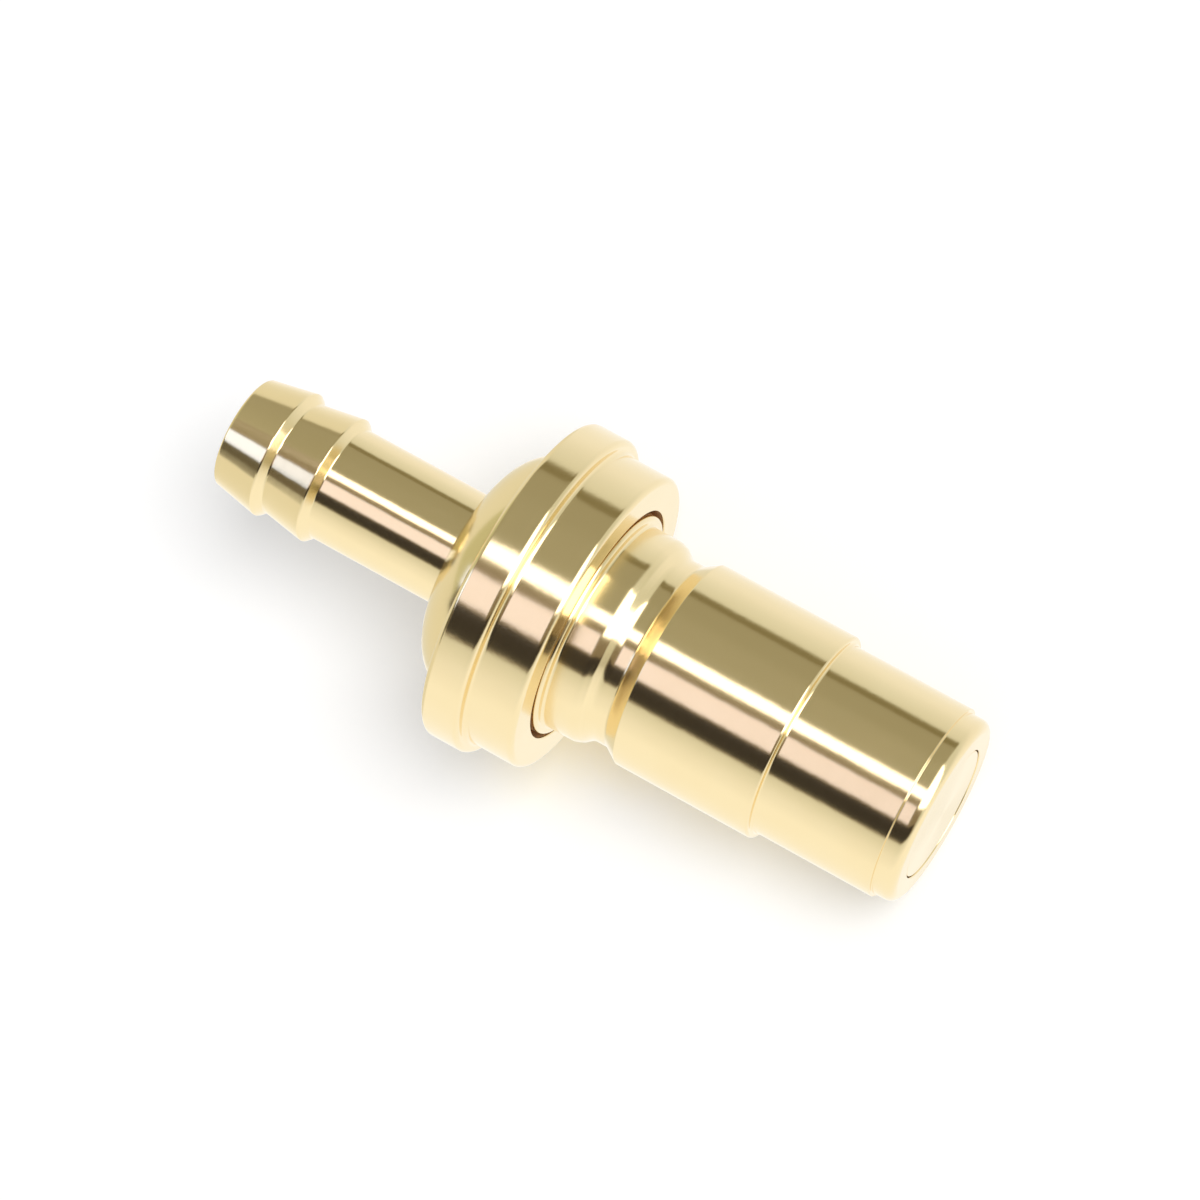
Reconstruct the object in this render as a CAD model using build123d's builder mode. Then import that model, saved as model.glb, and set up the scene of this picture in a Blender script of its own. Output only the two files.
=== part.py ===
"""Valved hose plug: the male half of a non-spill quick coupling, turned from brass bar.

The axis is Z. The hose end stands at z = 0 and the plug's tip points up +Z. Lengths are millimetres.
Two turned pieces screw together at the collar: the hose tail below and the plug body above. A sprung
valve closes the bore just inside the tip.
"""

import os
from math import cos, pi, sin

from build123d import *

os.makedirs("parts", exist_ok=True)

# ---- plug body, radii: spigot, shoulder ring, neck, locking groove, plug, nose and tip
plug_r = 8.92               # runs in the socket's guide bore
nose_step = 0.63            # the nose is this much smaller all round
tip_step = 0.31
tip_round = 0.9
neck_step = 0.03
groove_break_drop = 0.25    # first slope of the locking groove
groove_depth = 0.86
shoulder_step = 0.8         # shoulder ring above the neck
shoulder_seat = 0.55        # metal contact outside the joint seal
seal_pocket_width = 1.2
spigot_wall = 1.4
thread_fit = 0.02           # radial gap left between the two plain thread cylinders
chamber_step = 0.4          # wider bore around the valve head, for the flow
seat_step = 0.95            # the seat is this much smaller than the bore

# ---- plug body, lengths from the collar to the tip
spigot_len = 6.4
shoulder_len = 2.05
neck_len = 2.55
groove_break_len = 0.62
groove_front_len = 0.73
groove_floor_len = 1.35
groove_wall_len = 1.27
plug_len = 12.18
nose_len = 10.6
nose_end_drop = 0.05         # the small step down to the tip is nearly square
tip_len = 1.85
seat_len = 3.8

# ---- plug body, edges
thread_chamfer = 0.5
shoulder_break = 0.3
plug_rear_break = 0.12
plug_front_break = 0.25
nose_root = 0.3             # 45 degree root where the nose meets the plug
seat_break = 0.1           # at the mouth of the tip
groove_front_round = 0.9    # in the hollow of the locking groove
groove_rear_round = 0.6

# ---- hose tail: barbs, tube, rear dome and the two collar rings
tube_r = 4.87               # a hose of 10 mm bore slides on this
barb_height = 0.65
tail_end_drop = 0.12        # the hose end is this much smaller than the tube
hose_passage_r = 3.5        # drilled through for the fluid
counterbore_gap = 0.42      # open ring around the shoulder ring
ring_2_wall = 2.78
ring_step = 1.05
dome_wall = 2.9             # outside the thread, at the ring
dome_foot = 1.95            # flat shoulder between the tube and the dome
dome_round = 5.17
barb_cone_len = 4.0         # hose end to the first crest
barb_pitch = 4.45           # crest to crest
barb_drop_len = 0.65        # crest back down to the tube
barb_start_lift = 0.02
tube_len = 12.35            # plain, behind the barbs
dome_len = 3.83
ring_1_len = 3.47
ring_2_len = 4.4
ring_face_rise = 0.05        # the front face leans out this much towards the counterbore
counterbore_depth = 1.75
seal_pocket_depth = 1.3
thread_end_gap = 0.5        # below the spigot's end
mouth_break = 0.4           # countersink where the fluid enters
tail_end_break = 0.25
barb_crest_break = 0.12
tube_root = 0.3             # 45 degree root where the tube meets the dome
ring_break = 0.4
counterbore_break = 0.1

# ---- valve, its seals and its spring
valve_gap = 0.09            # radial running gap at the tip
valve_recess = 0.12         # below the tip's end face
valve_rim_step = 0.55       # the rim is this much larger than the seat and stops the valve
valve_rim_len = 0.5
cone_gap = 0.014            # left between the valve's cone and the seat's at rest
valve_stroke = 4.5          # how far a socket pushes the valve back
chamber_run_on = 1.03       # chamber left below the rim when the valve is fully back
valve_break = 0.1
seal_depth = 1.88           # valve face to the middle of its seal
seal_groove_len = 1.35
seal_groove_depth = 1.01
seal_squeeze_gap = 0.03     # the seals are drawn at their squeezed size
seal_sides = 10
stem_r = 1.9
stem_flare_len = 1.6        # cone from the stem out to the head's back
stem_flare_in = 1.0         # the flare stops this far inside the rim
stem_root = 0.5             # 45 degree root of the stem on the guide flange
guide_gap = 0.06            # radial running gap of the guide flange
guide_below_chamber = 0.6
guide_len = 3.4
guide_break = 0.3
guide_flow_slots = 4        # scallops milled through the guide flange
slot_land = 0.04            # left between a scallop and the spring pilot
spring_wire_r = 0.5
spring_side_gap = 1.05      # bore to the outside of the coils
pilot_gap = 0.55            # inside of the coils to the pilot
pilot_len = 2.2
pilot_break = 0.5
spring_turns = 8            # one closed turn at each end included
spring_ground = 0.3         # ground off each end
closed_turn_gap = 0.06      # between the closed turns
runs_per_turn = 16
wire_sides = 8

# ---- radii that follow
neck_r = plug_r + neck_step
groove_break_r = neck_r - groove_break_drop
groove_floor_r = neck_r - groove_depth
nose_r = plug_r - nose_step
tip_r = nose_r - tip_step
shoulder_r = neck_r + shoulder_step
seal_pocket_r = shoulder_r - shoulder_seat
thread_r = seal_pocket_r - seal_pocket_width
body_bore_r = thread_r - spigot_wall
chamber_r = body_bore_r + chamber_step
seat_r = body_bore_r - seat_step
counterbore_r = shoulder_r + counterbore_gap
ring_2_r = counterbore_r + ring_2_wall
ring_1_r = ring_2_r + ring_step
dome_r = thread_r + dome_wall
dome_foot_r = tube_r + dome_foot
barb_crest_r = tube_r + barb_height
tail_end_r = tube_r - tail_end_drop
valve_r = seat_r - valve_gap
valve_rim_r = seat_r + valve_rim_step
seal_groove_r = valve_r - seal_groove_depth
guide_r = body_bore_r - guide_gap
spring_mean_r = body_bore_r - spring_side_gap - spring_wire_r
pilot_r = spring_mean_r - spring_wire_r - pilot_gap
flow_slot_r = guide_r - pilot_r - slot_land

# ---- heights that follow, all from the hose end
first_crest_z = barb_cone_len
second_start_z = first_crest_z + barb_drop_len
second_crest_z = first_crest_z + barb_pitch
tube_start_z = second_crest_z + barb_drop_len
tube_end_z = tube_start_z + tube_len
ring_1_z = tube_end_z + dome_len
ring_1_front_z = ring_1_z + ring_1_len
ring_2_front_z = ring_1_front_z + ring_2_len
counterbore_floor_z = ring_2_front_z - counterbore_depth
seal_pocket_floor_z = counterbore_floor_z - seal_pocket_depth
spigot_end_z = counterbore_floor_z - spigot_len
socket_floor_z = spigot_end_z - thread_end_gap
shoulder_front_z = counterbore_floor_z + shoulder_len
groove_start_z = shoulder_front_z + neck_len
groove_break_z = groove_start_z + groove_break_len
groove_floor_z = groove_break_z + groove_front_len
groove_wall_z = groove_floor_z + groove_floor_len
plug_rear_z = groove_wall_z + groove_wall_len
plug_front_z = plug_rear_z + plug_len
nose_end_z = plug_front_z + nose_len
tip_end_z = nose_end_z + tip_len
seat_bottom_z = tip_end_z - seat_len
valve_top_z = tip_end_z - valve_recess
seal_z = valve_top_z - seal_depth
cone_top_z = seat_bottom_z + valve_gap - cone_gap
cone_bottom_z = cone_top_z - (valve_rim_r - valve_r)
head_bottom_z = cone_bottom_z - valve_rim_len
chamber_bottom_z = head_bottom_z - valve_stroke - chamber_run_on
guide_top_z = chamber_bottom_z - chamber_step - guide_below_chamber
guide_bottom_z = guide_top_z - guide_len
pilot_end_z = guide_bottom_z - pilot_len


def at(sketch, r, z):
    """The corner of a half section at this radius and height."""
    return sketch.vertices().filter_by(lambda v: abs(v.X - r) < 0.005 and abs(v.Y - z) < 0.005)


# ---------------------------------------------------------------------------------------------
# HOSE TAIL: a revolved half section, turned from the outside and bored from the front.
# ---------------------------------------------------------------------------------------------
with BuildPart() as hose_tail:
    with BuildSketch(Plane.XZ) as tail_section:
        with BuildLine():
            Polyline(
                (hose_passage_r, mouth_break), (hose_passage_r + mouth_break, 0), (tail_end_r, 0),
                (barb_crest_r, first_crest_z), (tube_r + barb_start_lift, second_start_z),
                (barb_crest_r, second_crest_z), (tube_r, tube_start_z),
                (tube_r, tube_end_z), (dome_foot_r, tube_end_z),
            )
            RadiusArc((dome_foot_r, tube_end_z), (dome_r, ring_1_z), -dome_round)
            Polyline(
                (dome_r, ring_1_z), (ring_1_r, ring_1_z), (ring_1_r, ring_1_front_z),
                (ring_2_r, ring_1_front_z), (ring_2_r, ring_2_front_z),
                (counterbore_r, ring_2_front_z + ring_face_rise),
                (counterbore_r, counterbore_floor_z), (seal_pocket_r, counterbore_floor_z),
                (seal_pocket_r, seal_pocket_floor_z), (thread_r, seal_pocket_floor_z),
                (thread_r, socket_floor_z), (hose_passage_r, socket_floor_z),
                (hose_passage_r, mouth_break),
            )
        make_face()
        chamfer(at(tail_section, tail_end_r, 0), tail_end_break)
        chamfer(at(tail_section, barb_crest_r, first_crest_z), barb_crest_break)
        chamfer(at(tail_section, barb_crest_r, second_crest_z), barb_crest_break)
        chamfer(at(tail_section, tube_r, tube_end_z), tube_root)
        chamfer(at(tail_section, ring_1_r, ring_1_z), ring_break)
        chamfer(at(tail_section, ring_1_r, ring_1_front_z), ring_break)
        chamfer(at(tail_section, ring_2_r, ring_1_front_z), ring_break)
        chamfer(at(tail_section, ring_2_r, ring_2_front_z), ring_break)
        chamfer(at(tail_section, counterbore_r, ring_2_front_z + ring_face_rise), counterbore_break)
    revolve(axis=Axis.Z)

# ---------------------------------------------------------------------------------------------
# PLUG BODY: the locking groove is a short slope, a hollow floor and a steeper slope to the plug.
# ---------------------------------------------------------------------------------------------
with BuildPart() as plug_body:
    with BuildSketch(Plane.XZ) as body_section:
        with BuildLine():
            Polyline(
                (body_bore_r, spigot_end_z), (thread_r - thread_fit, spigot_end_z),
                (thread_r - thread_fit, counterbore_floor_z), (shoulder_r, counterbore_floor_z),
                (shoulder_r, shoulder_front_z), (neck_r, shoulder_front_z),
                (neck_r, groove_start_z), (groove_break_r, groove_break_z),
                (groove_floor_r, groove_floor_z), (groove_floor_r, groove_wall_z),
                (plug_r, plug_rear_z), (plug_r, plug_front_z), (nose_r, plug_front_z),
                (nose_r, nose_end_z), (tip_r, nose_end_z + nose_end_drop), (tip_r, tip_end_z),
                (seat_r, tip_end_z), (seat_r, seat_bottom_z),
                (chamber_r, seat_bottom_z - (chamber_r - seat_r)), (chamber_r, chamber_bottom_z),
                (body_bore_r, chamber_bottom_z - chamber_step),
                close=True,
            )
        make_face()
        chamfer(at(body_section, thread_r - thread_fit, spigot_end_z), thread_chamfer)
        chamfer(at(body_section, shoulder_r, shoulder_front_z), shoulder_break)
        fillet(at(body_section, groove_floor_r, groove_floor_z), groove_front_round)
        fillet(at(body_section, groove_floor_r, groove_wall_z), groove_rear_round)
        chamfer(at(body_section, plug_r, plug_rear_z), plug_rear_break)
        chamfer(at(body_section, plug_r, plug_front_z), plug_front_break)
        chamfer(at(body_section, nose_r, plug_front_z), nose_root)
        fillet(at(body_section, tip_r, tip_end_z), tip_round)
        chamfer(at(body_section, seat_r, tip_end_z), seat_break)
    revolve(axis=Axis.Z)

# ---------------------------------------------------------------------------------------------
# VALVE: flat head with a seal groove and a seating cone, stem, guide flange with milled flow
# slots, spring pilot. Its spring holds the cone against the seat.
# ---------------------------------------------------------------------------------------------
with BuildPart() as valve:
    with BuildSketch(Plane.XZ) as valve_section:
        with BuildLine():
            Polyline(
                (0, pilot_end_z), (pilot_r, pilot_end_z),
                (pilot_r, guide_bottom_z), (guide_r, guide_bottom_z),
                (guide_r, guide_top_z), (stem_r, guide_top_z),
                (stem_r, head_bottom_z - stem_flare_len),
                (valve_rim_r - stem_flare_in, head_bottom_z), (valve_rim_r, head_bottom_z),
                (valve_rim_r, cone_bottom_z), (valve_r, cone_top_z),
                (valve_r, seal_z - seal_groove_len / 2), (seal_groove_r, seal_z - seal_groove_len / 2),
                (seal_groove_r, seal_z + seal_groove_len / 2), (valve_r, seal_z + seal_groove_len / 2),
                (valve_r, valve_top_z), (0, valve_top_z),
                close=True,
            )
        make_face()
        chamfer(at(valve_section, valve_r, valve_top_z), valve_break)
        chamfer(at(valve_section, stem_r, guide_top_z), stem_root)
        chamfer(at(valve_section, guide_r, guide_top_z), guide_break)
        chamfer(at(valve_section, guide_r, guide_bottom_z), guide_break)
        chamfer(at(valve_section, pilot_r, pilot_end_z), pilot_break)
    revolve(axis=Axis.Z)
    # flow slots: half-round scallops milled through the flange, which leave four guiding lands
    with BuildSketch(Plane.XY.offset(pilot_end_z)):
        with PolarLocations(guide_r, guide_flow_slots, start_angle=45):
            Circle(flow_slot_r)
    extrude(amount=guide_top_z - pilot_end_z, mode=Mode.SUBTRACT)

# ---------------------------------------------------------------------------------------------
# SEALS: rubber O-rings. One closes the valve in the seat, one lies under the shoulder ring. Their
# sections are drawn ten-sided, as the wire of the spring is drawn eight-sided.
# ---------------------------------------------------------------------------------------------
seal_outer_r = seat_r - seal_squeeze_gap
seal_inner_r = seal_groove_r + seal_squeeze_gap
with BuildPart() as valve_seal:
    with BuildSketch(Plane.XZ):
        with Locations(((seal_outer_r + seal_inner_r) / 2, seal_z)):
            RegularPolygon((seal_outer_r - seal_inner_r) / 2, seal_sides)
    revolve(axis=Axis.Z)

with BuildPart() as joint_seal:
    with BuildSketch(Plane.XZ):
        with Locations(((seal_pocket_r + thread_r) / 2, seal_pocket_floor_z + seal_pocket_depth / 2)):
            RegularPolygon(seal_pocket_width / 2 - seal_squeeze_gap, seal_sides)
    revolve(axis=Axis.Z)

# ---------------------------------------------------------------------------------------------
# SPRING: wire wound on a rising path that closes up over the first and last turn, ends ground
# flat. The wire is drawn eight-sided on short straight runs, so that it keeps to flat facets.
# ---------------------------------------------------------------------------------------------
wire_low_z = socket_floor_z + spring_wire_r - spring_ground
wire_high_z = guide_bottom_z - spring_wire_r + spring_ground
closed_rise = 2 * spring_wire_r + closed_turn_gap
open_rise = wire_high_z - wire_low_z - 2 * closed_rise


def wire_height(turn):
    """Height of the wire's centre after so many turns: closed, then open, then closed again."""
    if turn < 1:
        return wire_low_z + closed_rise * turn
    if turn > spring_turns - 1:
        return wire_high_z - closed_rise * (spring_turns - turn)
    return wire_low_z + closed_rise + open_rise * (turn - 1) / (spring_turns - 2)


def wire_point(step):
    turn = step / runs_per_turn
    return (spring_mean_r * cos(2 * pi * turn), spring_mean_r * sin(2 * pi * turn), wire_height(turn))


with BuildPart() as valve_spring:
    with BuildLine() as wire_path:
        Polyline(*[wire_point(step) for step in range(spring_turns * runs_per_turn + 1)])
    with BuildSketch(Plane(origin=wire_path.line @ 0, z_dir=wire_path.line % 0)):
        RegularPolygon(spring_wire_r, wire_sides, rotation=180 / wire_sides)
    sweep(path=wire_path.line, transition=Transition.RIGHT)
    split(bisect_by=Plane.XY.offset(socket_floor_z), keep=Keep.TOP)
    split(bisect_by=Plane.XY.offset(guide_bottom_z), keep=Keep.BOTTOM)

hose_tail.part.label = "hose_tail"
export_step(hose_tail.part, "parts/hose_tail.step")
plug_body.part.label = "plug_body"
export_step(plug_body.part, "parts/plug_body.step")
valve.part.label = "valve"
export_step(valve.part, "parts/valve.step")
valve_seal.part.label = "valve_seal"
export_step(valve_seal.part, "parts/valve_seal.step")
joint_seal.part.label = "joint_seal"
export_step(joint_seal.part, "parts/joint_seal.step")
valve_spring.part.label = "valve_spring"
export_step(valve_spring.part, "parts/valve_spring.step")
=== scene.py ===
"""Valved hose plug, dressed: the turned brass pieces with their rounded edges, the seals and the
spring. Its axis is Z with the hose end at the origin, and a white table top leans along its side.
Lengths are metres."""

from math import ceil, cos, pi, radians, sin, tan

import bpy
from mathutils import Matrix, Vector


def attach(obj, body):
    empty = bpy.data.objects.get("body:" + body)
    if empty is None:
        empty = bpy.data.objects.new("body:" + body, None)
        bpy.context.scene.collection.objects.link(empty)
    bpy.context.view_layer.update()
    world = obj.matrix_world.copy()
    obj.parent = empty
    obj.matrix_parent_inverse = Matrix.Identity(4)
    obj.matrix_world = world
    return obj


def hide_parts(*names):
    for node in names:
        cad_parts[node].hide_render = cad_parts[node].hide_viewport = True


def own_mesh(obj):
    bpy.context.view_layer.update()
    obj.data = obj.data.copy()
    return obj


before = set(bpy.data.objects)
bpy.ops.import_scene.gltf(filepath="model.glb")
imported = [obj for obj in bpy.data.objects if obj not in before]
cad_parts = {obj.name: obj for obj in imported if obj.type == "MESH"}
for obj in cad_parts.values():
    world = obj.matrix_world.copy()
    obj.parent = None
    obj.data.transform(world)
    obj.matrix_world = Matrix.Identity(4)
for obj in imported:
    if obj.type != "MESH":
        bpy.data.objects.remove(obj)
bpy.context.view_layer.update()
scene = bpy.context.scene
MM = 0.001

# ---- Hose tail ------------------------------------------------------------------------------
# Turned from brass bar in one piece: two barbs and a plain tube for the hose, a domed back, two
# collar rings and the counterbore that the plug body's shoulder sinks into. It carries the female
# thread of the joint and is bored through for the fluid.
# Radii and heights are in millimetres.
PASSAGE_R = 3.5
MOUTH_BREAK = 0.4           # countersink where the fluid enters
HOSE_END_R = 4.75
TUBE_R = 4.87
BARB_ROOT_R = 4.89
CREST_R = 5.52
CREST_1 = 4.0
CREST_2 = 8.45
CREST_DROP = 0.65           # from a crest back down to its root
DOME_LOW = 21.45
DOME_FOOT_R = 6.82
DOME_CORNER = (10.107, 22.041)    # where the dome's two ends would meet without its round
DOME_ROUND = 5.0
DOME_R = 10.92
LARGE_RING_R = 14.0
LARGE_RING_LOW = 25.28
LARGE_RING_HIGH = 28.75
FRONT_RING_R = 12.95
FRONT_RING_HIGH = 33.15
FACE_RISE = 0.05            # the front face leans out towards the counterbore
COUNTERBORE_R = 10.17
SHOULDER_SEAT = 31.4
POCKET_R = 9.2              # holds the joint's seal
POCKET_LOW = 30.1
SOCKET_R = 8.0              # the female thread, drawn plain
SOCKET_LOW = 24.5
ROUND_STEP = radians(11)    # a round is drawn in steps of about this turn
HOLD = 0.05 * MM            # keeps the flat beside a round flat
WELD = 0.0002 * MM
FACETS = 192                # around a turned piece
SMOOTH_BELOW = radians(24)


def section(corners):
    """A turned section's outline: a corner is its radius, its height and the radius of its round."""
    points = []
    for i, (r, z, round_r) in enumerate(corners):
        here = Vector((r, z)) * MM
        before = (Vector(corners[i - 1][:2]) * MM - here).normalized()
        after = (Vector(corners[(i + 1) % len(corners)][:2]) * MM - here).normalized()
        if not round_r:
            points.append(here)
            continue
        half = before.angle(after) / 2
        reach = round_r * MM / tan(half)
        centre = here + (before + after).normalized() * round_r * MM / sin(half)
        start = here + before * reach - centre
        turn = Vector(start).angle_signed(here + after * reach - centre)
        steps = max(2, ceil(abs(turn) / ROUND_STEP))
        points.append(here + before * (reach + HOLD))
        for k in range(steps + 1):
            spot = start.copy()
            spot.rotate(Matrix.Rotation(-turn * k / steps, 2))
            points.append(centre + spot)
        points.append(here + after * (reach + HOLD))
    return points


def turned(name, points, closed=True):
    """A piece off the lathe: its section is drawn point by point and spun round the axis."""
    bpy.ops.object.select_all(action="DESELECT")
    bpy.ops.mesh.primitive_plane_add(size=MM)
    piece = bpy.context.object
    piece.name = piece.data.name = name
    bpy.ops.object.mode_set(mode="EDIT")
    bpy.ops.mesh.merge(type="CENTER")
    bpy.ops.transform.translate(value=(points[0].x, 0, points[0].y))
    for here, there in zip(points, points[1:] + points[:1] * closed):
        bpy.ops.mesh.extrude_vertices_move(
            TRANSFORM_OT_translate={"value": (there.x - here.x, 0, there.y - here.y)}
        )
    bpy.ops.mesh.select_all(action="SELECT")
    bpy.ops.mesh.remove_doubles(threshold=WELD)
    bpy.ops.mesh.spin(steps=FACETS, angle=2 * pi, center=(0, 0, 0), axis=(0, 0, 1))
    bpy.ops.mesh.select_all(action="SELECT")
    bpy.ops.mesh.remove_doubles(threshold=WELD)
    bpy.ops.mesh.normals_make_consistent(inside=False)
    bpy.ops.object.mode_set(mode="OBJECT")
    bpy.ops.object.shade_smooth_by_angle(angle=SMOOTH_BELOW)
    return piece


class Shade:
    """A socket in a material. Sums and products of it add Math nodes, and node() adds any other."""

    def __init__(self, tree, socket=None):
        self.tree = tree
        self.socket = socket

    def node(self, kind, sockets=(), out=0, stops=(), **settings):
        made = self.tree.nodes.new(kind)
        for name, value in settings.items():
            setattr(made, name, value)
        for i, (place, colour) in enumerate(stops):
            ramp = made.color_ramp.elements
            stop = ramp[i] if i < 2 else ramp.new(place)
            stop.position = place
            stop.color = (*colour, 1)
        for key, value in dict(sockets).items():
            if isinstance(value, Shade):
                self.tree.links.new(value.socket, made.inputs[key])
            else:
                made.inputs[key].default_value = value
        return Shade(self.tree, made.outputs[out])

    def math(self, operation, *values):
        return self.node("ShaderNodeMath", enumerate(values), operation=operation)

    def __add__(self, other):
        return self.math("ADD", self, other)

    def __sub__(self, other):
        return self.math("SUBTRACT", self, other)

    def __rsub__(self, other):
        return self.math("SUBTRACT", other, self)

    def __mul__(self, other):
        return self.math("MULTIPLY", self, other)

    def __pow__(self, other):
        return self.math("POWER", self, other)

    __radd__ = __add__
    __rmul__ = __mul__

    def between(self, low, high):
        return self.math("GREATER_THAN", self, low) * self.math("LESS_THAN", self, high)

    def axis(self, name):
        """The X, Y or Z of this place."""
        return self.node("ShaderNodeSeparateXYZ", {0: self}, out=name)

    def colour(self, low, high):
        """From one colour to another as this value goes from 0 to 1."""
        low, high = (c if isinstance(c, Shade) else (*c, 1) for c in (low, high))
        return self.node("ShaderNodeMix", {0: self, 6: low, 7: high}, out=2, data_type="RGBA")


def place_on(material):
    """The place on a piece of this material, in the piece's own coordinates."""
    return Shade(material.node_tree).node("ShaderNodeTexCoord", out="Object")


PALE_BRASS = (0.95, 0.80, 0.49)
DEEP_BRASS = (0.92, 0.75, 0.43)
# Dark brown of the painted shade in the recesses and the gaps between pieces
PAINTED_SHADE_BRASS = (0.75, 0.47, 0.22)
POLISH = 0.13


def turned_brass(name, marks, seed, dull_shaded_zones):
    """Finish-turned and polished brass: fine marks run round the axis, and the buffing wheel leaves a
    slight ripple. In the zones that no wheel reaches it is rougher, and its colour is darkened to a
    brown as painted shade in the recesses and gaps: each zone is two radii and two heights."""
    material = bpy.data.materials.new(name)
    material.use_nodes = True
    here = place_on(material)
    x, y = here.axis("X"), here.axis("Y")
    height = here.axis("Z") * (1 / MM)
    radius = ((x * x + y * y) ** 0.5) * (1 / MM)
    along = height + radius + seed
    fine = here.node("ShaderNodeTexNoise", {"W": along * 5, "Detail": 3.0}, noise_dimensions="1D")
    broad = here.node("ShaderNodeTexNoise", {"W": along * 0.9, "Detail": 1.0}, noise_dimensions="1D")
    cloud = here.node("ShaderNodeTexNoise", {"Vector": here, "Scale": 260.0, "Detail": 3.0})
    ripple = here.node("ShaderNodeTexNoise", {"Vector": here, "Scale": 420.0, "Detail": 3.0})
    dull_and_shaded = sum(
        height.between(low, high) * radius.between(near, far) for near, far, low, high in dull_shaded_zones
    )
    shader = material.node_tree.nodes["Principled BSDF"]
    shader.inputs["Metallic"].default_value = 1
    shader.inputs["Anisotropic"].default_value = 0.75
    shader.inputs["Anisotropic Rotation"].default_value = 0.25
    links = material.node_tree.links
    polished = (cloud * 0.6 + fine * 0.4).colour(PALE_BRASS, DEEP_BRASS)
    # Painted shade: in the dull zones the colour goes to a dark brown for the recesses and gaps, and
    # the roughness rises there too
    links.new(dull_and_shaded.colour(polished, PAINTED_SHADE_BRASS).socket, shader.inputs["Base Color"])
    links.new((fine * 0.04 + cloud * 0.03 + dull_and_shaded * 0.35 + POLISH).socket, shader.inputs["Roughness"])
    bump = here.node(
        "ShaderNodeBump",
        {"Height": fine * 0.35 + broad * 1.2 + ripple * 30, "Distance": marks * MM, "Strength": 1.0},
    )
    links.new(bump.socket, shader.inputs["Normal"])
    return material


hose_tail = turned(
    "turned_hose_tail",
    section(
        [
            (PASSAGE_R, MOUTH_BREAK, 0.1), (PASSAGE_R + MOUTH_BREAK, 0, 0.1), (HOSE_END_R, 0, 0.25),
            (CREST_R, CREST_1, 0.16), (BARB_ROOT_R, CREST_1 + CREST_DROP, 0.16),
            (CREST_R, CREST_2, 0.16), (TUBE_R, CREST_2 + CREST_DROP, 0.2),
            (TUBE_R, DOME_LOW, 0.32), (DOME_FOOT_R, DOME_LOW, 0.1),
            (*DOME_CORNER, DOME_ROUND), (DOME_R, LARGE_RING_LOW, 0),
            (LARGE_RING_R, LARGE_RING_LOW, 0.5), (LARGE_RING_R, LARGE_RING_HIGH, 0.5),
            (FRONT_RING_R, LARGE_RING_HIGH, 0.4), (FRONT_RING_R, FRONT_RING_HIGH, 0.5),
            (COUNTERBORE_R, FRONT_RING_HIGH + FACE_RISE, 0.12), (COUNTERBORE_R, SHOULDER_SEAT, 0.08),
            (POCKET_R, SHOULDER_SEAT, 0.05), (POCKET_R, POCKET_LOW, 0.05),
            (SOCKET_R, POCKET_LOW, 0), (SOCKET_R, SOCKET_LOW, 0), (PASSAGE_R, SOCKET_LOW, 0.1),
        ]
    ),
)
# Recesses of the hose tail, darkened as painted shade and left rough: the counterbore's gap, the
# socket and the passage
COUNTERBORE_ZONE = (8.2, 10.19, 30.0, 33.05)
SOCKET_ZONE = (3.4, 8.1, 24.4, 31.0)
PASSAGE_ZONE = (3.4, 3.6, 2.0, 24.5)
hose_tail.data.materials.append(
    turned_brass(
        "tail brass", marks=0.0004, seed=0,
        dull_shaded_zones=[COUNTERBORE_ZONE, SOCKET_ZONE, PASSAGE_ZONE],
    )
)
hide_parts("hose_tail")
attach(hose_tail, "body")

# ---- Plug body ------------------------------------------------------------------------------
# The part that enters the socket, turned from brass bar: threaded spigot and shoulder ring at the
# collar, neck, locking groove for the socket's balls, plug, nose and a rounded tip. The bore holds
# the valve and ends in a seat, a cone of 45 degrees.
BORE_R = 6.6
SPIGOT_R = 7.98
SPIGOT_LOW = 25.0
THREAD_CHAMFER = 0.5
SHOULDER_R = 9.75
SHOULDER_HIGH = 33.45
NECK_R = 8.95
NECK_HIGH = 36.0
GROOVE_BREAK = (8.70, 36.62)    # where the groove's first slope steepens
GROOVE_R = 8.09
GROOVE_LOW = 37.35
GROOVE_HIGH = 38.7
PLUG_R = 8.92
PLUG_LOW = 39.97
PLUG_HIGH = 52.15
NOSE_R = 8.29
NOSE_HIGH = 62.75
TIP_R = 7.98
TIP_HIGH = 64.6
MOUTH_R = 5.65
SEAT_HIGH = 60.8
CHAMBER_R = 7.0
CHAMBER_LOW = 54.206
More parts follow.
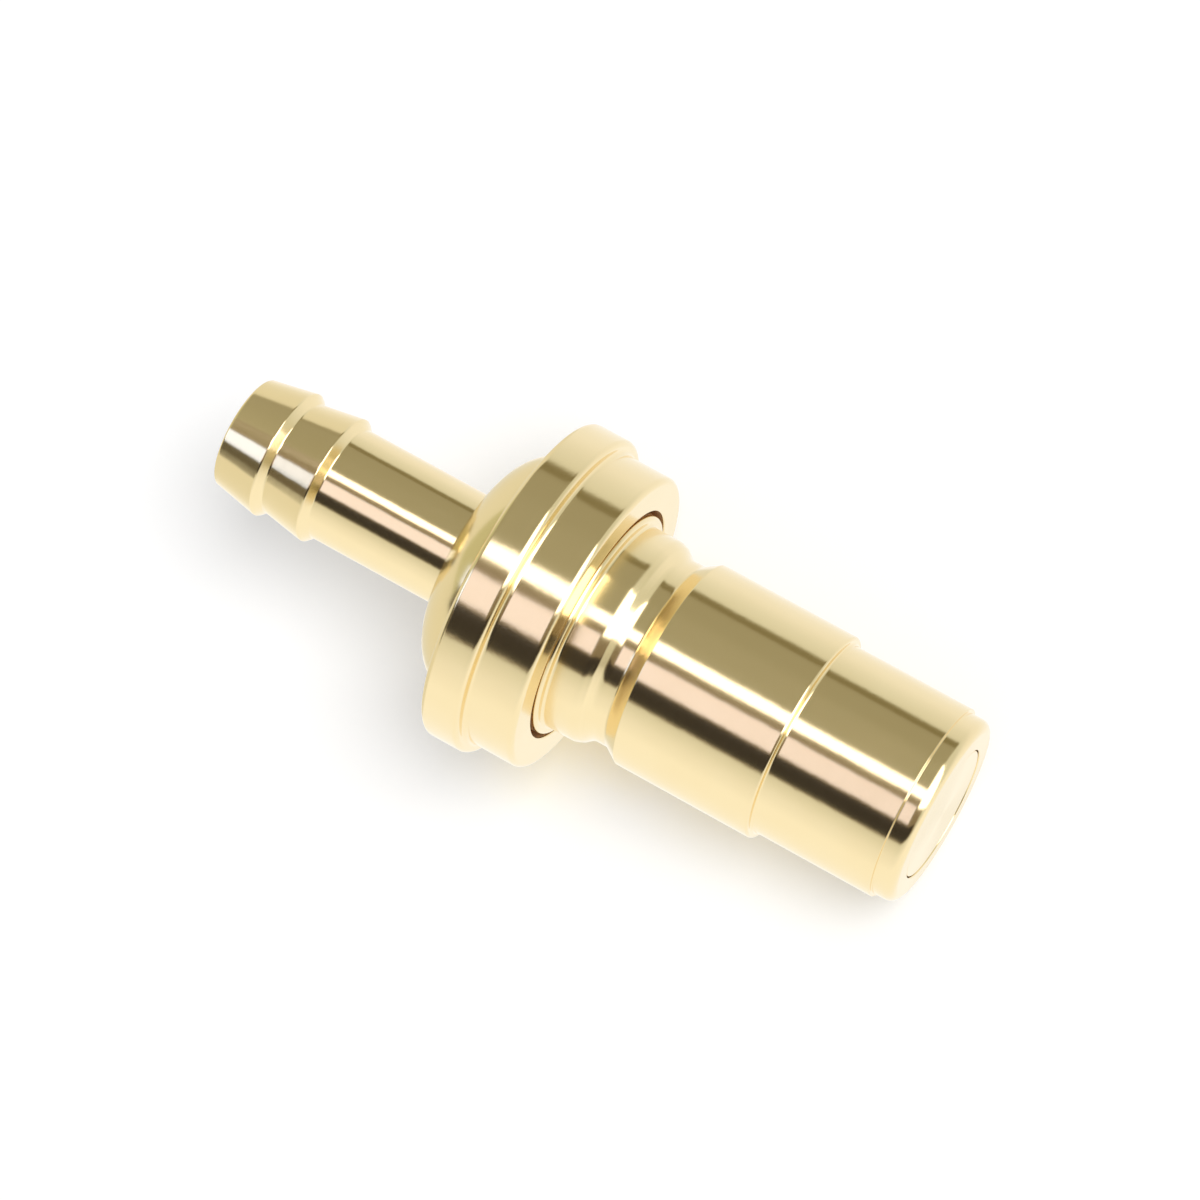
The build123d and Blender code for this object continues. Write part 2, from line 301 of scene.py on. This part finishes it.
plug_body = turned(
    "turned_plug_body",
    section(
        [
            (BORE_R, SPIGOT_LOW, 0.1), (SPIGOT_R - THREAD_CHAMFER, SPIGOT_LOW, 0.05),
            (SPIGOT_R, SPIGOT_LOW + THREAD_CHAMFER, 0.05), (SPIGOT_R, SHOULDER_SEAT, 0),
            (SHOULDER_R, SHOULDER_SEAT, 0.05), (SHOULDER_R, SHOULDER_HIGH, 0.35),
            (NECK_R, SHOULDER_HIGH, 0.25), (NECK_R, NECK_HIGH, 1.1), (*GROOVE_BREAK, 0.35),
            (GROOVE_R, GROOVE_LOW, 0.9), (GROOVE_R, GROOVE_HIGH, 0.6),
            (PLUG_R, PLUG_LOW, 0.14), (PLUG_R, PLUG_HIGH, 0.25),
            (NOSE_R, PLUG_HIGH, 0.25), (NOSE_R, NOSE_HIGH, 0.07),
            (TIP_R, NOSE_HIGH, 0.08), (TIP_R, TIP_HIGH, 0.85),
            (MOUTH_R, TIP_HIGH, 0.1), (MOUTH_R, SEAT_HIGH, 0.1),
            (CHAMBER_R, SEAT_HIGH - (CHAMBER_R - MOUTH_R), 0.1),
            (CHAMBER_R, CHAMBER_LOW, 0.1), (BORE_R, CHAMBER_LOW - (CHAMBER_R - BORE_R), 0.1),
        ]
    ),
)
# Recesses of the plug body, darkened as painted shade and left rough: the shoulder's gap, the spigot
# and the chamber
SHOULDER_ZONE = (9.5, 9.8, 31.3, 33.0)
SPIGOT_ZONE = (6.5, 8.01, 24.0, 31.5)
CHAMBER_ZONE = (5.5, 7.1, 53.0, 64.4)
plug_body.data.materials.append(
    turned_brass(
        "body brass", marks=0.0004, seed=40,
        dull_shaded_zones=[SHOULDER_ZONE, SPIGOT_ZONE, CHAMBER_ZONE],
    )
)
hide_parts("plug_body")
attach(plug_body, "body")

# ---- Valve ----------------------------------------------------------------------------------
# Turned brass: a flat head that closes the bore just inside the tip, a groove for its seal, a cone
# that stops on the seat, a stem, and a guide flange with four flow slots and the spring's pilot.
PILOT_R = 4.0
PILOT_LOW = 47.606
GUIDE_R = 6.54
GUIDE_LOW = 49.806
GUIDE_HIGH = 53.206
STEM_R = 1.9
FLARE_R = 5.2
FLARE_LOW = 58.136
RIM_R = 6.2
RIM_LOW = 59.736
RIM_HIGH = 60.236
HEAD_R = 5.56
HEAD_HIGH = 64.54
SEAL_GROOVE_R = 4.55
SEAL_GROOVE_LOW = 61.925
SEAL_GROOVE_HIGH = 63.275
FLOW_SLOTS = 4
SLOT_R = 2.5
SLOT_CUT = 8                # long enough to pass the flange and the pilot
CUT_PAST = 0.1
valve = turned(
    "turned_valve",
    section(
        [
            (0, PILOT_LOW, 0), (PILOT_R, PILOT_LOW, 0.4), (PILOT_R, GUIDE_LOW, 0.05),
            (GUIDE_R, GUIDE_LOW, 0.25), (GUIDE_R, GUIDE_HIGH, 0.25),
            (STEM_R, GUIDE_HIGH, 0.45), (STEM_R, FLARE_LOW, 0.6), (FLARE_R, RIM_LOW, 0.2),
            (RIM_R, RIM_LOW, 0.1), (RIM_R, RIM_HIGH, 0.06), (HEAD_R, RIM_HIGH + RIM_R - HEAD_R, 0.06),
            (HEAD_R, SEAL_GROOVE_LOW, 0.05), (SEAL_GROOVE_R, SEAL_GROOVE_LOW, 0),
            (SEAL_GROOVE_R, SEAL_GROOVE_HIGH, 0), (HEAD_R, SEAL_GROOVE_HIGH, 0.05),
            (HEAD_R, HEAD_HIGH, 0.1), (0, HEAD_HIGH, 0),
        ]
    ),
    closed=False,
)
bpy.ops.object.select_all(action="DESELECT")
bpy.ops.mesh.primitive_cylinder_add(
    vertices=96, radius=SLOT_R * MM, depth=SLOT_CUT * MM,
    location=(GUIDE_R * MM, 0, (GUIDE_HIGH + CUT_PAST - SLOT_CUT / 2) * MM),
)
cutter = bpy.context.object
bpy.ops.object.mode_set(mode="EDIT")
bpy.ops.transform.rotate(value=-pi / FLOW_SLOTS, orient_axis="Z", center_override=(0, 0, 0))
for turn in range(FLOW_SLOTS - 1):
    bpy.ops.mesh.duplicate()
    bpy.ops.transform.rotate(value=-2 * pi / FLOW_SLOTS, orient_axis="Z", center_override=(0, 0, 0))
bpy.ops.object.mode_set(mode="OBJECT")
bpy.ops.object.select_all(action="DESELECT")
bpy.context.view_layer.objects.active = valve
slots = valve.modifiers.new("flow slots", "BOOLEAN")
slots.operation = "DIFFERENCE"
slots.object = cutter
slots.solver = "EXACT"
bpy.ops.object.modifier_apply(modifier=slots.name)
bpy.data.objects.remove(cutter)
valve.select_set(True)
bpy.ops.object.shade_smooth_by_angle(angle=SMOOTH_BELOW)
# Behind the valve's face, darkened as painted shade and left rough
BEHIND_FACE_ZONE = (4.0, 6.3, 59.7, 64.3)
valve.data.materials.append(
    turned_brass("valve brass", marks=0.0006, seed=90, dull_shaded_zones=[BEHIND_FACE_ZONE])
)
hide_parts("valve")
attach(valve, "valve")

# ---- Seals ----------------------------------------------------------------------------------
# Black rubber O-rings, moulded: one closes the valve in its seat, one lies under the shoulder
# ring. The solids' own meshes stay, with a faint bloom and a fine grain.
rubber = bpy.data.materials.new("seal rubber")
rubber.use_nodes = True
here = place_on(rubber)
bloom = here.node("ShaderNodeTexNoise", {"Vector": here, "Scale": 900.0, "Detail": 4.0})
grain = here.node("ShaderNodeTexNoise", {"Vector": here, "Scale": 9000.0, "Detail": 2.0})
shader = rubber.node_tree.nodes["Principled BSDF"]
links = rubber.node_tree.links
black = bloom.colour((0.012, 0.012, 0.012), (0.035, 0.034, 0.033))
links.new(black.socket, shader.inputs["Base Color"])
links.new((bloom * 0.2 + 0.38).socket, shader.inputs["Roughness"])
bump = here.node("ShaderNodeBump", {"Height": grain, "Distance": 0.004 * MM, "Strength": 1.0})
links.new(bump.socket, shader.inputs["Normal"])
for name in ("valve_seal", "joint_seal"):
    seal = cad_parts[name]
    seal.data.materials.clear()
    seal.data.materials.append(rubber)

# ---- Valve spring ---------------------------------------------------------------------------
# Stainless wire wound on a mandrel, its end turns closed and ground flat. It stands on the floor
# of the hose tail's bore and pushes the guide flange up.
SPRING_R = 5.05
WIRE_R = 0.5
TURNS = 8                   # one closed turn at each end included
CLOSED_RISE = 1.06          # of a closed turn
GROUND = 0.3                # off each end
SPRING_LOW = SOCKET_LOW
SPRING_HIGH = GUIDE_LOW
POINTS_PER_TURN = 24
wire_low = SPRING_LOW + WIRE_R - GROUND
wire_high = SPRING_HIGH - WIRE_R + GROUND
open_rise = (wire_high - wire_low - 2 * CLOSED_RISE) / (TURNS - 2)
bpy.ops.object.select_all(action="DESELECT")
bpy.ops.curve.primitive_nurbs_path_add()
spring = bpy.context.object
spring.name = "wound_spring"
bpy.ops.object.mode_set(mode="EDIT")
bpy.ops.curve.select_all(action="SELECT")
bpy.ops.curve.delete(type="VERT")
for step in range(TURNS * POINTS_PER_TURN + 1):
    turn = step / POINTS_PER_TURN
    open_turns = min(max(turn - 1, 0), TURNS - 2)
    z = wire_low + CLOSED_RISE * (turn - open_turns) + open_rise * open_turns
    bpy.ops.curve.vertex_add(
        location=(SPRING_R * MM * cos(2 * pi * turn), SPRING_R * MM * sin(2 * pi * turn), z * MM)
    )
bpy.ops.object.mode_set(mode="OBJECT")
spring.data.bevel_depth = WIRE_R * MM
spring.data.bevel_resolution = 4
spring.data.resolution_u = 3
spring.data.use_fill_caps = True
bpy.ops.object.convert(target="MESH")
spring = bpy.context.object
bpy.ops.object.mode_set(mode="EDIT")
for cut, keep_low in ((SPRING_LOW, False), (SPRING_HIGH, True)):
    bpy.ops.mesh.select_all(action="SELECT")
    bpy.ops.mesh.bisect(
        plane_co=(0, 0, cut * MM), plane_no=(0, 0, 1), use_fill=True,
        clear_inner=not keep_low, clear_outer=keep_low,
    )
bpy.ops.mesh.select_all(action="SELECT")
bpy.ops.mesh.normals_make_consistent(inside=False)
bpy.ops.object.mode_set(mode="OBJECT")
bpy.ops.object.shade_smooth_by_angle(angle=radians(30))
steel = bpy.data.materials.new("spring steel")
steel.use_nodes = True
here = place_on(steel)
draw = here.node("ShaderNodeTexNoise", {"Vector": here, "Scale": 1500.0, "Detail": 3.0})
shader = steel.node_tree.nodes["Principled BSDF"]
shader.inputs["Metallic"].default_value = 1
links = steel.node_tree.links
drawn_steel = draw.colour((0.55, 0.54, 0.52), (0.68, 0.67, 0.65))
links.new(drawn_steel.socket, shader.inputs["Base Color"])
links.new((draw * 0.15 + 0.2).socket, shader.inputs["Roughness"])
bump = here.node("ShaderNodeBump", {"Height": draw, "Distance": 0.002 * MM, "Strength": 1.0})
links.new(bump.socket, shader.inputs["Normal"])
spring.data.materials.append(steel)
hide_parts("valve_spring")
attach(spring, "body")
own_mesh(spring)

# ---- Floor ----------------------------------------------------------------------------------
# The white table top that the plug lies on, touched by the large collar ring and the nose, so it
# leans against the plug's own axis. To the camera it has a share of its own white, so that it stays
# pale under plain light. The rest takes the lamp's soft shadow, and a painted glow: near the brass
# its colour is warmed, standing in for the light that the brass throws onto it.
TABLE_SIDE = 8              # metres
LEAN = radians(9.5)
CLEAR = 0.15                # of the plug, so that they never meet
TOUCH = Vector((0, LARGE_RING_R + CLEAR, LARGE_RING_HIGH)) * MM
TABLE_WHITE = (0.8, 0.8, 0.8)
# Warm colour of the painted glow, the light bounced off the brass painted onto the table
PAINTED_GLOW_COLOUR = (1.0, 0.85, 0.45)
GLOW_NEAR = 9 * MM          # how close the brass has to be
GLOW_HEIGHT = 32 * MM       # beside the collar
GLOW_FADE = 34 * MM         # it is gone this far along the axis
GLOW_SIDE = 6 * MM          # it comes in over this width on the shaded side
GLOW_STRENGTH = 1.8
GLOW_FALL = 1.5
bpy.ops.object.select_all(action="DESELECT")
bpy.ops.mesh.primitive_plane_add(
    size=TABLE_SIDE, location=TOUCH, rotation=(pi / 2 + LEAN, 0, 0)
)
floor = bpy.context.object
floor.name = "floor"
bpy.ops.object.transform_apply(location=True, rotation=True, scale=True)
bpy.ops.object.mode_set(mode="EDIT")
bpy.ops.mesh.subdivide(number_cuts=3)
bpy.ops.object.mode_set(mode="OBJECT")
floor.visible_glossy = False
paper = bpy.data.materials.new("floor paper")
paper.use_nodes = True
shader = paper.node_tree.nodes["Principled BSDF"]
shader.inputs["Roughness"].default_value = 1
shader.inputs["Specular IOR Level"].default_value = 0
shader.inputs["Emission Strength"].default_value = 0.25
seen = Shade(paper.node_tree).node("ShaderNodeLightPath", out="Is Camera Ray")
behind = seen.node("ShaderNodeNewGeometry", out="Backfacing")
open_sky = seen.node("ShaderNodeAmbientOcclusion", {"Distance": GLOW_NEAR}, out="AO", samples=8)
here = place_on(paper)
shaded_side = here.node("ShaderNodeMapRange", {0: here.axis("X"), 1: 0.0, 2: GLOW_SIDE})
by_collar = 1 - here.math("ABSOLUTE", here.axis("Z") - GLOW_HEIGHT) * (1 / GLOW_FADE)
# Painted glow: the table's colour turns warm close to the brass on the shaded side, in place of the
# light the brass reflects onto it
painted_glow = ((1 - open_sky) * GLOW_STRENGTH) ** GLOW_FALL * shaded_side * by_collar
painted_glow_colour = painted_glow.colour(TABLE_WHITE, PAINTED_GLOW_COLOUR)
links = paper.node_tree.links
links.new(painted_glow_colour.socket, shader.inputs["Base Color"])
links.new(seen.colour((0, 0, 0), (1, 1, 1)).socket, shader.inputs["Emission Color"])
links.new((1 - behind).socket, shader.inputs["Alpha"])
floor.data.materials.append(paper)

# ---- Studio ---------------------------------------------------------------------------------
# Plain white all round, and for the metal the room of a product table: a soft box overhead with a
# strip light under it, a pale pink reflector beside the camera, and dark boards and a dark room
# between them and the white walls. A panel is its bearing from the camera and its climb, both in
# degrees, how soft its edges are, and its light.
PANELS = [
    ((-181, 181), (-120, -25), (1, 8), (0.84, 0.82, 0.72)),   # table all round
    ((-70, 62), (-120, -45), (10, 5), (0.60, 0.59, 0.40)),    # and nearer to the plug
    ((-86, -15), (-43, 12), (2, 5), (0.37, 0.35, 0.255)),     # olive board
    ((-84.5, -76), (-29, 9), (1.5, 6), (0.22, 0.19, 0.10)),   # its darker edge
    ((-17, 54), (-43, 60), (2, 5), (0.26, 0.21, 0.15)),       # room behind the camera
    ((31, 52), (-27, 50), (2, 5), (0.04, 0.034, 0.03)),       # dark board
    ((-50, 7), (7, 84), (3, 4), (3.0, 3.0, 3.0)),             # soft box overhead
    ((-15.5, -3.2), (-27, 9), (3.5, 4), (2.4, 2.4, 2.5)),     # strip light
    ((6.6, 29), (-29, -4.5), (2, 2), (1.14, 1.06, 1.31)),     # pink reflector
    ((36, 71), (-60, -33), (4, 3), (0.12, 0.11, 0.08)),       # foot of the dark board
    ((9.5, 37.5), (-60, -33), (2, 3), (1.25, 1.45, 2.2)),     # white card on the table
]
WALLS = [
    (-180, (1.06, 1.06, 1.06)), (-120, (0.95, 0.95, 0.95)), (-100, (0.82, 0.83, 0.80)),
    (-80, (0.72, 0.73, 0.66)), (0, (0.72, 0.73, 0.66)), (50, (0.70, 0.71, 0.64)),
    (74, (0.94, 0.94, 0.93)), (95, (1.06, 1.06, 1.06)), (180, (1.06, 1.06, 1.06)),
]
BRIGHTEST_WALL = 1.06       # a ramp holds no more than 1, so it is scaled back up behind it
PLAIN_LIGHT = (0.5, 0.5, 0.5)
WHITE = (1, 1, 1)
world = bpy.data.worlds.new("studio")
scene.world = world
world.use_nodes = True
here = Shade(world.node_tree).node("ShaderNodeTexCoord", out="Generated")
bearing = here.math("ARCTAN2", here.axis("X"), here.axis("Y") * -1) * (180 / pi)
climb = here.math("ARCSINE", here.axis("Z")) * (180 / pi)
room = here.node(
    "ShaderNodeValToRGB",
    {0: (bearing + 180) * (1 / 360)},
    stops=[((angle + 180) / 360, [c / BRIGHTEST_WALL for c in colour]) for angle, colour in WALLS],
)
room = here.node("ShaderNodeVectorMath", {0: room, "Scale": BRIGHTEST_WALL}, operation="SCALE")


def past(angle, edge, soft):
    """Rises from 0 to 1 as the angle passes an edge of this softness, in degrees."""
    return here.node(
        "ShaderNodeMapRange", {0: angle, 1: edge - soft / 2, 2: edge + soft / 2},
        interpolation_type="SMOOTHSTEP",
    )


for (left, right), (low, high), (soft_side, soft_end), light in PANELS:
    across = past(bearing, left, soft_side) * (1 - past(bearing, right, soft_side))
    upright = past(climb, low, soft_end) * (1 - past(climb, high, soft_end))
    room = (across * upright).colour(room, light)
glossy = here.node("ShaderNodeLightPath", out="Is Glossy Ray")
seen = here.node("ShaderNodeLightPath", out="Is Camera Ray")
light = seen.colour(glossy.colour(PLAIN_LIGHT, room), WHITE)
back = world.node_tree.nodes["Background"]
world.node_tree.links.new(light.socket, back.inputs["Color"])
back.inputs["Strength"].default_value = 1

bpy.ops.object.light_add(type="SUN")
lamp = bpy.context.object
lamp.name = "window"
lamp.data.energy = 1.85
lamp.data.angle = radians(30)
lamp.visible_glossy = False
SUN_BEARING = radians(12)
SUN_CLIMB = radians(18)
to_sun = Vector(
    (-sin(SUN_BEARING) * cos(SUN_CLIMB), -cos(SUN_BEARING) * cos(SUN_CLIMB), sin(SUN_CLIMB))
)
lamp.rotation_euler = to_sun.to_track_quat("Z", "Y").to_euler()

# ---- Camera ---------------------------------------------------------------------------------
# It looks at the middle of the plug and a little down on its tip. It is rolled over, so that the plug
# lies across the view with its tip to the lower right.
DISTANCE = 0.4114
TILT = radians(13.1)
ROLL = radians(28.66)
AIM = Vector((-1.82, 0, 32.35)) * MM
up_axis = Vector((0, sin(TILT), cos(TILT)))
side_axis = Vector((-1, 0, 0))
back_axis = Vector((0, -cos(TILT), sin(TILT)))
right = cos(ROLL) * up_axis + sin(ROLL) * side_axis
up = cos(ROLL) * side_axis - sin(ROLL) * up_axis
bpy.ops.object.camera_add(location=AIM + back_axis * DISTANCE)
camera = bpy.context.object
camera.rotation_euler = Matrix((right, up, back_axis)).transposed().to_euler()
camera.data.sensor_width = 36
camera.data.lens = 156
camera.data.clip_start = 0.01
scene.camera = camera
scene.view_settings.view_transform = "Standard"
